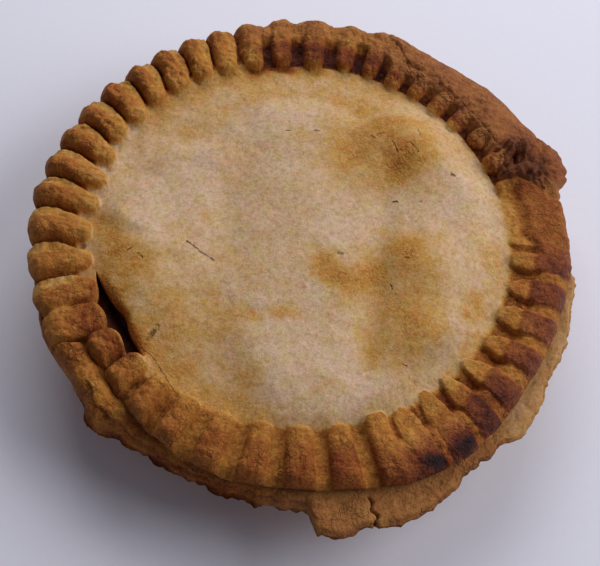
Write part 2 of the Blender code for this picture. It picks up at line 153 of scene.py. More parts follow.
def oval(x, y, centre_x, centre_y, length, width, turn):
    """Square of the distance from the middle of a turned oval, 1 at its edge."""
    turn = math.radians(turn)
    x, y = x - centre_x, y - centre_y
    u = (x * math.cos(turn) + y * math.sin(turn)) / length
    v = (y * math.cos(turn) - x * math.sin(turn)) / width
    return u * u + v * v


def noise(points, size, seed):
    """Smooth noise of about -1 to 1 with the given feature size."""
    place = points / size + seed * 17.31
    cell = np.floor(place).astype(np.int64)
    share = smooth(place - cell)
    total = np.zeros(points.shape[:-1])
    for corner in range(8):
        step = np.array([corner & 1, corner >> 1 & 1, corner >> 2 & 1])
        weight = np.prod(np.where(step == 1, share, 1 - share), axis=-1)
        total += weight * cell_value(cell + step, seed)
    return (total * 2 - 1) * 1.3


def rough(points, size, seed, octaves=3):
    """Noise with finer layers, each half as large and half as strong as the one before."""
    total = np.zeros(points.shape[:-1])
    for octave in range(octaves):
        total += noise(points, size / 2 ** octave, seed + octave * 5) / 2 ** octave
    return total / 1.5


def crack_lines(points, size, seed, width=0.12):
    """1 along thin wandering lines, 0 away from them."""
    line = 1 - np.abs(noise(points, size, seed)) / width
    return np.clip(line, 0, 1) * smooth(noise(points, size * 2.2, seed + 3) * 2.2 - 0.4)


def polar(angle, radius, height):
    """Points at angles, radii and heights."""
    turn = np.radians(angle)
    angle_shape = np.broadcast_arrays(turn, radius, height)
    turn, radius, height = (np.asarray(part, float) for part in angle_shape)
    return np.stack([radius * np.cos(turn), radius * np.sin(turn), height], axis=-1)


def surface(columns, **values):
    """Named surface values of a ring, with one number for each column."""
    return {name: np.zeros(columns) + value for name, value in values.items()}


# ---------------- shape of the lid
def crimp_angles():
    """Angles of the crimps' middles, going clockwise, with the first one again at the end."""
    starts = [start for start, _ in CRIMP_RUNS] + [CRIMP_RUNS[0][0] - 360]
    angles = []
    for (start, count), end in zip(CRIMP_RUNS, starts[1:]):
        angles += [start + (end - start) * step / count for step in range(count)]
    return np.array(angles + [starts[-1]])


CRIMP_ANGLES = crimp_angles()


def crimp_variation(turns, seed):
    """A value of -1 to 1 that belongs to each crimp, eased from one crimp to the next."""
    before = np.floor(turns)
    near, far = (cell_value(np.stack([crimp % CRIMP_COUNT, crimp * 0 + seed, crimp * 0 + 5],
                                     -1).astype(np.int64), seed) for crimp in (before, before + 1))
    return (near + (far - near) * smooth((turns - before - 0.3) / 0.4)) * 2 - 1


def plateau_edge(x, y):
    """Distance of the brink of the lid's raised middle from the pie's axis."""
    edge = along(PLATEAU_EDGE, np.degrees(np.arctan2(y, x)) % 360)
    return edge + 1.5 * noise(np.stack([x, y, 0 * x], -1), 14, 53)


def lid_dome(x, y):
    """Height of the lid's upper side inside the crimps."""
    beyond = np.hypot(x, y) - plateau_edge(x, y)
    angle = np.degrees(np.arctan2(y, x)) % 360
    brink = 11 + 14 * within(angle, 190, 265, 25)
    slope = smooth(beyond / (80 - along(PLATEAU_EDGE, angle)))
    drop = 0.45 * smooth(beyond / brink) + 0.55 * slope
    height = PLATEAU - (PLATEAU - MOAT) * drop * (1 - 0.6 * within(angle, 262, 306, 24))
    for *place, rise in SWELLINGS:
        height += rise * np.exp(-oval(x, y, *place))
    return height


def lid_underside(radius, x, y):
    """Height of the lid's lower side, flat where it lies on the case's rim."""
    seat = FLANGE_TOP + GAP
    inside = 1 - eased(radius, 60, 19)
    return seat + (lid_dome(x, y) - LID_THICKNESS - seat) * inside


# Shape of the crimps round the rim, as (angle, value) lines: half width in half pitches,
# squareness, how much of the groove is filled at the outer ends, height and drop of the outer end
HALF_WIDTH = (
    (2, 0.76), (8, 0.9), (18, 0.9), (24, 0.7), (60, 0.7), (74, 0.68), (98, 0.66), (106, 0.72),
    (118, 0.88), (200, 0.9), (208, 0.97), (216, 0.97), (222, 0.9), (236, 0.78), (245, 0.64),
    (290, 0.67), (298, 0.84), (308, 0.84), (316, 0.72), (352, 0.72))
SQUARENESS = (
    (20, 2.4), (60, 2.4), (76, 3), (104, 3), (114, 2.3), (200, 2.3), (209, 4.5), (216, 2.8),
    (224, 2.2), (238, 2.4), (247, 3), (292, 3), (312, 4.6), (352, 5))
FILLED = (
    (0, 1), (71, 1), (80, 0.86), (90, 0.72), (104, 0.66), (116, 0.35), (200, 0.35), (208, 0.9),
    (216, 0.55), (224, 0.3), (244, 0.05), (290, 0.1), (300, 0.85), (312, 0.8), (320, 0.72),
    (346, 0.72), (356, 0.9))
CRIMP_HEIGHT = (
    (2, 0.55), (8, 0.42), (17, 0.42), (26, 0.95), (80, 0.95), (120, 1.05), (190, 1.05),
    (210, 0.85), (222, 1.1), (238, 1.05), (248, 0.92), (270, 0.86), (290, 0.76), (300, 0.66),
    (312, 0.8), (345, 0.8), (357, 0.62))
END_DROP = (
    (5, 0.55), (25, 0), (66, 0), (76, 0.45), (88, 0.6), (120, 0.75), (200, 0.7), (212, 0.45),
    (240, 0.3), (300, 0.35), (350, 0.45))


def crumbs(flat):
    """Height of the crumbly surface of well baked pastry."""
    height = 0.4 * rough(flat, 6, 31) + 0.26 * rough(flat, 2.2, 36)
    height += 0.9 * (np.abs(noise(flat, 3.0, 38)) - 0.35)
    height += 0.5 * (np.abs(noise(flat, 1.5, 39)) - 0.35)
    return height - 0.9 * crack_lines(flat, 5, 41)


def crimp_shape(turns, share, angle, span, wobble):
    """How much of a place is crimp, its rise above the grooves, and how much of it is web."""
    turns = turns + 0.04 * wobble
    place = (turns - np.round(turns)) * 2
    inward = share * span
    rolls = within(angle, *ROLLS, 12)
    blocks = within(angle, *BLOCKS, 8)
    joined = within(angle, *JOINED, 8)
    band = within(angle, *BAND, 5)
    start = (0.9 + 0.7 * blocks) * crimp_variation(turns, 1) + 1.6 * within(angle, 112, 165, 20)
    tip = np.clip((inward - start) / (2.8 - 0.4 * joined + 2.6 * blocks), 0, 1)
    plan = np.sqrt(np.clip(1 - (1 - tip) ** 2, 0, 1))
    width = along(HALF_WIDTH, angle) * (1 + 0.06 * crimp_variation(turns, 3))
    width *= 1 - (0.22 * rolls + 0.3 * blocks) * (1 - smooth(inward / 9))
    width *= np.maximum(plan, 1e-3) ** 0.8
    square = along(SQUARENESS, angle)
    round_top = np.clip(1 - (np.abs(place) / width) ** square, 0, 1) ** (1 / square)
    # towards its outer end a roll leans: a steep side, then a long slope to the next roll
    lean = np.clip((place + 0.95) / 1.9, 0, 1)
    steep = np.sqrt(np.clip(1 - (1 - np.minimum(lean / 0.26, 1)) ** 2, 0, 1))
    slope = 1 - 0.42 * eased(lean, 0.42, 0.28) - 0.14 * eased(lean, 0.2, 0.8)
    leaning = steep * slope * smooth((1 - lean) / 0.07)
    leant = rolls * eased(inward, 4, 9)
    across = (round_top + (leaning - round_top) * leant) * (0.45 + 0.55 * plan) * (plan > 0)
    across *= 1 - band
    # the groove is filled towards its outer end
    hollow = 8.5 - 5.9 * joined - 3.5 * band
    outward = eased(inward, hollow, 5.5)
    filled = along(FILLED, angle) * outward * (1 - leant)
    body = np.maximum(across, filled)
    crimped = across + (body - across) * (1 - blocks)
    web = leant * eased(lean, 0.56, 0.16)
    # heights along the crimp, from its tip to its outer end
    end = 1 - along(END_DROP, angle) * max(0, (share - 0.8) / 0.2) ** 2
    uneven = 0.12 * crimp_variation(turns, 2) * (1 - joined * outward)
    full = ROLL_HEIGHT * along(CRIMP_HEIGHT, angle) * (1 + uneven)
    full *= 1 - 0.25 * rolls * (1 - smooth(share / 0.55))
    full *= 1 - 0.55 * within(angle, *LOW_CRIMPS, 8) * (1 - eased(share, 0.15, 0.45))
    full *= 1 - 0.26 * blocks * (1 - eased(share, 0.34, 0.1))
    full *= 1 - 0.3 * (blocks + joined) * (1 - smooth(inward / 8))
    crease = math.exp(-((share - 0.4) / 0.04) ** 2) * blocks
    return crimped, full * body * end - 0.9 * crease * across, web


def split_opening(angle):
    """How far the steam split stands open at an angle, 0 to 1."""
    place = np.clip((angle % 360 - SPLIT_START) / (SPLIT_END - SPLIT_START), 0, 1)
    opening = np.sin(math.pi * place ** 1.25)
    return np.where(opening > 1e-6, opening, 0) ** 0.8


def lid_relief(flat, angle, across, on_roll):
    """Height of the crumbs on the crimps, and of the shallow unevenness inside them."""
    torn = 0.6 * (np.abs(noise(flat, 3.2, 43)) - 0.35)
    crumbly = 0.9 - 0.4 * within(angle, 238, 300, 10) - 0.15 * within(angle, 165, 238, 14)
    crumbly -= 0.45 * within(angle, *BLOCKS, 8) * smooth(across * 1.6)
    crumbly -= 0.45 * within(angle, -2, 19, 6)
    crimped = crumbly * crumbs(flat) + within(angle, 218, 240, 10) * 1.2 * torn
    plain = 0.45 * rough(flat, 12, 51) + 0.12 * rough(flat, 2.4, 61)
    return on_roll * crimped + (1 - on_roll) * plain


def lid_ring(nominal, columns, upper, side=0):
    """Points and surface values of one ring of the lid; side is -1 or 1 at the split's edges."""
    turns = -np.arange(columns) * CRIMP_COUNT / columns
    angle = np.interp(turns % CRIMP_COUNT, np.arange(CRIMP_COUNT + 1), CRIMP_ANGLES)
    share = (nominal - TIP_RADIUS) / (RIM_RADIUS - TIP_RADIUS)
    lean = CRIMP_LEAN * within(angle, 112, 205, 40) * smooth(share / 0.7)
    angle = angle - lean - CRIMP_SHIFT * within(angle, 112, 190, 24)
    phase = np.abs(turns - np.round(turns)) * 2
    scallop = 0.4 + 1.8 * within(angle, 80, 225, 10)
    edge = along(LID_EDGE, angle)
    span = edge - TIP_RADIUS
    edge -= scallop * phase ** 2 * smooth(share)
    edge += 0.4 * rough(polar(angle, RIM_RADIUS, 0), 4, 11)
    radius = TIP_RADIUS + share * (edge - TIP_RADIUS) if share > 0 else np.full(columns, nominal)

    # the split pushes the lid's inner part and the crimps apart
    opening = split_opening(angle)
    away = abs(nominal - SPLIT_RADIUS)
    fade = math.exp(-away / 7)
    inner = side < 0 or (side == 0 and nominal < SPLIT_RADIUS)
    uneven_lip = 1 + 0.35 * noise(polar(angle, SPLIT_RADIUS, 0), 9, 25)
    push = 0.5 * SPLIT_WIDTH * (-uneven_lip if inner else 0.6 + 0.9 * phase ** 2)
    radius = radius + push * opening * fade
    flat = polar(angle, radius, 0.0)
    x, y = flat[:, 0], flat[:, 1]

    under = lid_underside(radius, x, y)
    dome = lid_dome(x, y)
    across, rise, web = crimp_shape(turns, share, angle, span, noise(flat, 9, 21))
    if inner:
        rise *= 1 - smooth(opening * fade * 4)
    rounded = max(0, (share - 0.75) / 0.25) ** 2 * (1 - within(angle, 20, 76, 6))
    rim = RIM_FLOOR - 2.4 * rounded
    height = dome + (rim - dome) * eased(share, -0.15, 0.35) + (rise if share > -0.15 else 0)
    height += lid_relief(flat, angle, across, eased(share, -0.05, 0.2))
    if inner:
        lip = opening * math.exp(-away / 3.5)
        height = height - 3.4 * lip ** 2 + 1.6 * opening * fade
    height = np.maximum(height, under + 0.9) if upper else under
    points = polar(angle, radius, height)
    marked = share - 0.01 * (side < 0)
    return points, surface(columns, share=marked, across=across, opening=opening * fade,
                           angle=angle % 360, web=web)


# ---------------- meshes from rings
def ring_faces(first, first_count, second, second_count):
    """Quads and triangles between two rings, of equal counts or one twice or all of the other."""
    none = np.zeros((0, 3), int)
    if first_count == second_count:
        place = np.arange(first_count)
        after = (place + 1) % first_count
        quads = np.stack([first + place, second + place, second + after, first + after], -1)
        return quads, none
    if first_count > second_count:
        quads, triangles = ring_faces(second, second_count, first, first_count)
        return quads[:, ::-1], triangles[:, ::-1]
    place = np.arange(second_count if first_count == 1 else first_count)
    if first_count == 1:
        after = (place + 1) % second_count
        fan = np.stack([first + 0 * place, second + place, second + after], -1)
        return np.zeros((0, 4), int), fan
    after = (place + 1) % first_count
    left, middle = second + 2 * place, second + 2 * place + 1
    right = second + (2 * place + 2) % second_count
    fans = np.concatenate([np.stack([first + place, left, middle], -1),
                           np.stack([first + place, middle, first + after], -1),
                           np.stack([first + after, middle, right], -1)])
    return np.zeros((0, 4), int), fans


def skin(name, rings, breaks=(), walls=()):
    """A closed smooth mesh over rings of (points, values), from the top centre to the bottom one.

    breaks are the places in the list with no faces to the next ring; walls are (first ring,
    second ring, columns that get a face).
    """
    counts = [len(points) for points, _ in rings]
    starts = np.concatenate([[0], np.cumsum(counts)])
    quads, triangles = [], []
    for place in range(len(rings) - 1):
        if place not in breaks:
            after = place + 1
            four, three = ring_faces(starts[place], counts[place], starts[after], counts[after])
            quads.append(four)
            triangles.append(three)
    for first, second, columns in walls:
        four, _ = ring_faces(starts[first], counts[first], starts[second], counts[second])
        quads.append(four[columns])
    points = np.concatenate([part for part, _ in rings])
    values = {key: np.concatenate([part[key] for _, part in rings]) for key in rings[0][1]}
    return build_mesh(name, points, np.concatenate(quads), np.concatenate(triangles), values)


def add_object(name, data):
    """A new object in the scene, with its data."""
    thing = bpy.data.objects.new(name, data)
    bpy.context.scene.collection.objects.link(thing)
    return thing


def build_mesh(name, points, quads, triangles, values):
    """A smooth-shaded mesh from arrays, with one float attribute for each surface value."""
    mesh = bpy.data.meshes.new(name)
    mesh.from_pydata((points * MM).tolist(), [], quads.tolist() + triangles.tolist())
    for key, value in values.items():
        layer = mesh.attributes.new(key, "FLOAT", "POINT")
        layer.data.foreach_set("value", value.astype(np.float32))
    merged = bmesh.new()
    merged.from_mesh(mesh)
    bmesh.ops.remove_doubles(merged, verts=merged.verts, dist=1e-7)
    merged.to_mesh(mesh)
    merged.free()
    mesh.shade_smooth()
    return add_object(name, mesh)


def spaced(start, end, step):
    """Places from start up to but without end, about a step apart."""
    count = max(1, round((end - start) / step))
    return [start + (end - start) * place / count for place in range(count)]


def make_lid():
    """The lid, closed all round, with the split open between its inner part and its crimps."""
    full = LID_COLUMNS
    rings = [lid_ring(0.0, 1, True)]
    for start, end, step, columns in ((1.6, 20, 1.6, full // 8), (20, 48, 1.0, full // 4),
                                      (48, 68, 0.8, full // 2), (68, 76.2, 0.7, full)):
        rings += [lid_ring(place, columns, True) for place in spaced(start, end, step)]
    rings += [lid_ring(SPLIT_RADIUS, full, True, -1)]
    inner_top = len(rings) - 1
    rings += [lid_ring(SPLIT_RADIUS, full, True, 1)]
    rings += [lid_ring(place, full, True) for place in spaced(76.6, 100, 0.65)]
    rings += [lid_ring(RIM_RADIUS, full, True), lid_ring(98.8, full, False)]
    rings += [lid_ring(place, full // 2, False) for place in (92, 85, 79)]
    rings += [lid_ring(SPLIT_RADIUS, full, False, 1)]
    outer_under = len(rings) - 1
    rings += [lid_ring(SPLIT_RADIUS, full, False, -1)]
    for start, end, columns in ((74, 60, full // 2), (60, 34, full // 4), (34, 10, full // 8)):
        rings += [lid_ring(place, columns, False) for place in spaced(start, end, -4)]
    rings += [lid_ring(8, full // 8, False), lid_ring(0.0, 1, False)]
    opening = rings[inner_top][1]["opening"]
    open_columns = (opening > 0) | (np.roll(opening, -1) > 0)
    walls = ((inner_top, outer_under + 1, open_columns),
             (outer_under, inner_top + 1, open_columns))
    return skin("lid_crust", rings, (inner_top, outer_under), walls)


# ---------------- shape of the case and filling
def bowl_radius(height):
    """Inside radius of the case's bowl at a height."""
    return np.interp(height, *zip(*BOWL))


def even_angles(columns):
    """Angles of a ring's columns."""
    return np.arange(columns) * 360 / columns


def case_ring(radius, height, columns):
    """Points and surface values of one plain ring of the case, slightly uneven."""
    angle = even_angles(columns)
    bumps = rough(polar(angle, radius, height), 14, 71)
    wall = 0.35 if height < FLANGE_TOP - FLANGE_THICKNESS and radius > BASE_RADIUS else 0
    return (polar(angle, radius + wall * bumps, height),
            surface(columns, share=0, across=0, opening=0, angle=angle))


def rim_lines(columns):
    """Angles, foot and edge radii, fold height and zones of the case's rim."""
    angle = even_angles(columns)
    around = polar(angle, RIM_RADIUS, 0)
    zone = {"ragged": within(angle, 228, 362, 6), "lump": within(angle, 18, 33, 6),
            "steep": within(angle, 17, 80, 3), "sag": within(angle, 232, 277, 5),
            "left": within(angle, 214, 240, 4), "flaky": within(angle, *FLAKY, 4)}
    edge = along(FLANGE_EDGE, angle)
    uneven = 0.25 + 0.8 * zone["ragged"] + 1.3 * zone["lump"]
    edge += uneven * rough(around, 4, 81)
    lid_edge = along(LID_EDGE, angle) + GAP
    clear = (edge - lid_edge) / 2.5 - 1 + 2 * zone["steep"]
    fold = along(FOLD_HEIGHT, angle) * smooth(clear)
    foot = np.minimum(lid_edge, edge - 5) - (3.6 * zone["steep"] + 1.2 * zone["left"])
    return angle, foot, edge, fold, zone


def layer_step(flat, share):
    """0 on the broken rim's upper layer of flaky pastry, 1 on the layer that shows beyond it."""
    return smooth((share - 0.6 - 0.1 * rough(flat, 6, 85)) / 0.06)


def crack_share(angle, radius):
    """1 in the middle of the flap's jagged crack, 0 beside it."""
    wander = 0.6 * noise(polar(CRACK_ANGLE, radius, 0), 2.4, 83)
    return np.clip(1 - np.abs(angle - CRACK_ANGLE - wander) / 0.36, 0, 1)


def rim_sag(edge, share, zone):
    """How far the rim hangs down: towards its edge, and more where it is broken or drooping."""
    beyond = np.maximum(edge - 1.04 * RIM_RADIUS, 0)
    return 0.16 * beyond * share + FLANGE_SAG * zone["sag"] * share ** 1.3


def rim_top_ring(share, columns):
    """One ring of the rim's upper side; share runs from the lid's edge to the rim's edge."""
    angle, foot, edge, fold, zone = rim_lines(columns)
    radius = foot + share * (edge - foot)
    flat = polar(angle, radius, 0)
    hump = max(0.0, 1 - abs(2 * share - 1) ** 2.6) ** 0.6
    hump = max(hump, 0.58 if share < 0.5 else 0)
    band = 1 + 0.05 * math.sin(2 * math.pi * min(share, 0.5)) - 0.92 * share ** 2.6
    arch = hump + (band - hump) * zone["steep"]
    folded = smooth(fold / 3)
    height = FLANGE_TOP + fold * arch - rim_sag(edge, share, zone)
    height -= 1.2 * float(eased(share, 0.8, 0.2)) ** 2
    height += zone["ragged"] * float(smooth(share * 3)) * 0.6 * rough(flat, 4, 91, 4)
    height -= zone["flaky"] * 1.3 * layer_step(flat, share)
    # the fold rises out of the lid's edge, with the same crumbly surface
    height -= zone["steep"] * (1.3 * (1 - eased(radius, foot, 2.2)) - 0.1)
    torn = np.abs(rough(flat, 5, 93, 4)) * 2 + 0.8 * np.abs(noise(flat, 2.2, 94)) - 0.9
    height += zone["lump"] * arch * 2.2 * torn
    height += folded * arch * (1 - 0.4 * zone["left"]) * crumbs(flat)
    hole = polar(HOLE_ANGLE, HOLE_RADIUS, 0)
    hollow = np.exp(-(np.hypot(*(flat - hole)[:, :2].T) / HOLE_SIZE) ** 4)
    height -= HOLE_DEPTH * hollow
    crack = crack_share(angle, radius) * eased(radius, CRACK_START, 2)
    lowest = FLANGE_TOP - FLANGE_THICKNESS + 0.3 - rim_sag(edge, share, zone)
    height = np.maximum(height - 3.0 * crack, lowest)
    radius = radius - 1.4 * crack_share(angle, edge) * share ** 6
    lump = np.maximum(zone["lump"], hollow)
    return (polar(angle, radius, height),
            surface(columns, share=1 + share, across=folded, opening=lump, angle=angle))


def rim_edge_ring(share, columns):
    """One ring of the rim's broken outer edge; share runs from its top to its bottom."""
    angle, _, edge, fold, zone = rim_lines(columns)
    top, _ = rim_top_ring(1.0, columns)
    lowest = FLANGE_TOP - FLANGE_THICKNESS - rim_sag(edge, 1.0, zone)
    height = top[:, 2] + share * (lowest - top[:, 2])
    radius = np.hypot(top[:, 0], top[:, 1])
    bulge = math.sin(math.pi * share) * 0.5 - 0.9 * share
    layers = rough(polar(angle, radius, height * 3), 3.5, 99)
    flaky = 0.15 + 0.55 * zone["ragged"] + 0.5 * zone["lump"] + 0.5 * zone["sag"]
    layered = 0.45 * zone["ragged"] * math.sin(5 * math.pi * share)
    radius = radius + bulge + flaky * layers + layered
    folded = smooth(fold / 3)
    return (polar(angle, radius, height),
            surface(columns, share=2 + share, across=folded, opening=zone["lump"], angle=angle))


def make_case():
    """The case: base, slanted side and a ragged rim that is folded up in two places."""
    full = CASE_COLUMNS
    rings = [case_ring(0.0, WALL, 1)]
    rings += [case_ring(place, WALL, full // 4) for place in (20, 40, 58)]
    rings += [case_ring(radius, height, full // 2) for height, radius in BOWL]
    rings += [case_ring(FLANGE_START, FLANGE_TOP, full)]
    rings += [rim_top_ring(share, full) for share in (0, 0.01, 0.03, *spaced(0.06, 1, 0.03))]
    rings += [rim_top_ring(1.0, full)]
    rings += [rim_edge_ring(share, full) for share in spaced(0.1, 1.01, 0.1)]
    lowest = FLANGE_TOP - FLANGE_THICKNESS
    rings += [case_ring(place, lowest, full // 2) for place in (92, 88, 84)]
    rings += [case_ring(81.2, lowest - 1.2, full // 2)]
    rings += [case_ring(SIDE_FOOT + SIDE_SLOPE * (place - 4), place, full // 2)
              for place in np.linspace(24, 4, 25)]
    rings += [case_ring(radius, height, full // 2) for radius, height in FOOT]
    rings += [case_ring(BASE_RADIUS, 0, full // 2)]
    rings += [case_ring(place, 0, full // 4) for place in spaced(66, 20, -4)]
    rings += [case_ring(0.0, 0, 1)]
    return skin("case_crust", rings)


def filling_ring(radius, columns, height=None):
    """One ring of the filling: its lumpy crown where no height is given, else its side or base."""
    angle = even_angles(columns)
    if height is not None:
        return polar(angle, radius, height), {}
    flat = polar(angle, radius, 0)
    pocket = within(angle, SPLIT_START, SPLIT_END, 8) * eased(radius, 60, 12)
    lumps = rough(flat, 7, 101, 4)
    level = lid_underside(radius, flat[:, 0], flat[:, 1]) - GAP - 1.2
    level += (0.7 + 0.9 * pocket) * lumps - SPLIT_POCKET * pocket
    return polar(angle, radius, level), {}


def make_filling():
    """The filling: one lumpy solid that fills the case up to the lid."""
    full = FILLING_COLUMNS
    rings = [filling_ring(0.0, 1)]
    rings += [filling_ring(place, full // 4) for place in spaced(5, 50, 5)]
    rings += [filling_ring(place, full) for place in spaced(50, 73.6, 0.8)]
    crown, _ = filling_ring(73.6, full)
    level = np.minimum(crown[:, 2], FLANGE_TOP - 2.5)
    rings += [filling_ring(bowl_radius(level) - GAP, full, level)]
    rings += [filling_ring(bowl_radius(place) - GAP, full, place) for place in (16, 6.3)]
    rings += [filling_ring(bowl_radius(WALL) - GAP, full // 2, WALL + GAP)]
    rings += [filling_ring(30, full // 4, WALL + GAP), filling_ring(0.0, 1, WALL + GAP)]
    return skin("filling_mix", rings)


# ---------------- materials
class Nodes:
    """Short calls to add and join the nodes of one material."""

    def __init__(self, name):
        self.material = bpy.data.materials.new(name)
        self.material.use_nodes = True
        self.tree = self.material.node_tree
        self.shader = self.tree.nodes["Principled BSDF"]
        self.place = self.tree.nodes.new("ShaderNodeTexCoord").outputs["Object"]

    def add(self, kind, inputs=(), **settings):
        """A node with its settings; inputs are (socket, value or output to link)."""
        node = self.tree.nodes.new("ShaderNode" + kind)
        for key, value in settings.items():
            setattr(node, key, value)
        for socket, value in inputs:
            if isinstance(value, bpy.types.NodeSocket):
                self.tree.links.new(value, node.inputs[socket])
            else:
                node.inputs[socket].default_value = value
        return node

    def noise(self, size, detail=3, rough_share=0.55, distortion=0.0):
        """Noise of about 0 to 1 with a feature size."""
        node = self.add("TexNoise", [("Vector", self.place), ("Scale", 1 / size / MM),
                                     ("Detail", detail), ("Roughness", rough_share),
                                     ("Distortion", distortion)])
        return node.outputs["Fac"]

    def nearness(self, lines, jag):
        """1 on thin uneven lines seen from above, 0 away from them."""
        warp = self.add("TexNoise", [("Vector", self.place), ("Scale", 1 / (1.5 * MM))])
        warp = self.vector("SUBTRACT", warp.outputs["Color"], (0.5, 0.5, 0.5))
        warp = self.vector("MULTIPLY", warp, (jag * MM, jag * MM, 0))
        place = self.vector("ADD", self.place, warp)
        place = self.vector("MULTIPLY", place, (1, 1, 0))
        nearest = 9.0
        for half, *numbers in lines:
            points = list(zip(numbers[::2], numbers[1::2]))
            for start, end in zip(points, points[1:]):
                first = Vector((*start, 0)) * MM
                line = Vector((*end, 0)) * MM - first
                offset = self.vector("SUBTRACT", place, first)
                share = self.vector("DOT_PRODUCT", offset, line / line.length_squared, "Value")
                share = self.math("ADD", share, clamp=True)
                along_line = self.add("CombineXYZ", [(0, share), (1, share)]).outputs[0]
                foot = self.vector("MULTIPLY", along_line, line)
                away = self.vector("DISTANCE", offset, foot, "Value")
                nearest = self.math("MINIMUM", self.math("DIVIDE", away, half * MM), nearest)
        return self.math("SUBTRACT", 1.5, nearest, clamp=True)

    def cracks(self, size, amount):
        """1 on a broken net of fine wandering cracks, 0 off it; the amount is how many show."""
        warp = self.add("TexNoise", [("Vector", self.place), ("Scale", 1 / size / MM),
                                     ("Detail", 3)])
        warp = self.vector("MULTIPLY", warp.outputs["Color"], [size * MM] * 3)
        place = self.vector("ADD", self.place, warp)
        edge = self.add("TexVoronoi", [("Vector", place), ("Scale", 1 / size / MM)],
                        feature="DISTANCE_TO_EDGE").outputs["Distance"]
        line = self.add("MapRange", [("Value", edge), ("From Max", 0.12), ("To Min", 1.0),
                                     ("To Max", 0.0)]).outputs[0]
        shown = self.add("MapRange", [("Value", self.noise(3.2 * size, 2)), ("From Min", 0.5),
                                      ("From Max", 0.62)]).outputs[0]
        return self.times(self.times(line, shown), self.math("ADD", amount, clamp=True))

    def vector(self, kind, first, second, output="Vector"):
        """A vector or value worked out from two vectors."""
        return self.add("VectorMath", [(0, first), (1, second)], operation=kind).outputs[output]

    def value(self, name):
        """A surface value stored on the mesh."""
        return self.add("Attribute", attribute_name=name).outputs["Fac"]

    def math(self, kind, first, second=0.0, third=None, clamp=False):
        """A number worked out from others."""
        inputs = [(0, first), (1, second)] + ([] if third is None else [(2, third)])
        return self.add("Math", inputs, operation=kind, use_clamp=clamp).outputs[0]

    def times(self, first, second):
        """A product of two numbers."""
        return self.math("MULTIPLY", first, second)

    def scaled(self, value, factor, added):
        """A number times a factor, with another one added."""
        return self.math("MULTIPLY_ADD", value, factor, added)

    def ramp(self, share, stops, mode="LINEAR"):
        """A colour from (place, colour) stops."""
        node = self.add("ValToRGB", [("Fac", share)])
        node.color_ramp.interpolation = mode
        while len(node.color_ramp.elements) < len(stops):
            node.color_ramp.elements.new(0.5)
        for element, (place, colour) in zip(node.color_ramp.elements, stops):
            element.position = place
            element.color = (*colour, 1)
        return node.outputs["Color"]

    def mix(self, share, first, second, blend="MIX"):
        """A mix of two colours."""
        node = self.add("Mix", [(0, share), (6, first), (7, second)], data_type="RGBA",
                        blend_type=blend)
        return node.outputs[2]

    def bump(self, height, distance, strength, under=None):
        """A normal raised by a height of 0 to 1."""
        inputs = [("Height", height), ("Distance", distance * MM), ("Strength", strength)]
        if under is not None:
            inputs.append(("Normal", under))
        return self.add("Bump", inputs).outputs["Normal"]

    def connect(self, socket, output):
        """Links an output to a socket of the shader."""
        self.tree.links.new(output, self.shader.inputs[socket])


# Colours of pastry from pale to burnt, as albedo
BAKED = (
    (0, (0.655, 0.472, 0.325)), (0.15, (0.6, 0.39, 0.195)), (0.27, (0.56, 0.315, 0.096)),
    (0.38, (0.51, 0.245, 0.047)), (0.47, (0.45, 0.178, 0.029)), (0.57, (0.355, 0.12, 0.021)),
    (0.67, (0.26, 0.062, 0.01)), (0.78, (0.145, 0.027, 0.007)), (0.89, (0.052, 0.011, 0.007)),
    (1, (0.018, 0.006, 0.005)))
DUSTY = (0.4, 0.185, 0.075, 1)
FLOUR = (0.72, 0.56, 0.42, 1)
CRAZE = (0.1, 0.035, 0.012, 1)
MARK = (0.11, 0.048, 0.018, 1)
WHITE = (1, 1, 1)

# Fine cracks, tears and pricks from above: half width, then x and y of a line's points, in mm
LID_MARKS = (
    (0.24, -41, -11.2, -36.1, -14.4, -30.3, -17.8), (0.75, -48.9, -50.5, -46.5, -45.5),
    (0.16, -51.1, -53.8, -47.3, -56, -43.1, -60.8, -36.7, -68.9), (0.18, 24.4, 43.2, 27.2, 44.2),
    (0.28, 30.3, 40.2, 32.5, 35.5), (0.26, 36.8, 39.7, 40, 35.8), (0.18, 39.5, 47.1, 40.4, 43.5),
    (0.22, -61.6, -18.1, -59.7, -16.6), (0.45, -57.5, -19.2, -55.9, -20.3),
    (0.4, 0.6, 43.2, 1.6, 43.2), (0.22, -10.4, 41.7, -9, 41.9), (0.35, 32.3, 15.6, 33.9, 15.4),
    (0.3, 41.8, 16.4, 43, 16.7), (0.24, 37.9, -9.2, 39.3, -9.8), (0.3, 33.6, -20, 34, -21.5),
    (0.24, 39.6, -50.6, 40.9, -51), (0.55, 14.2, -9.6, 15, -9.8), (0.6, 53.6, 29.1, 54.3, 29),
    (0.26, 22.2, 42.4, 23.4, 42))
RIM_MARKS = (
    (0.3, 26.9, 83.6, 28, 81.6, 29.6, 79), (0.22, 29.6, 79.6, 34, 78),
    (0.32, 48.4, 76.6, 49, 74, 50.6, 72), (0.34, 76.6, 57.6, 78, 55.6, 80.6, 54.2))


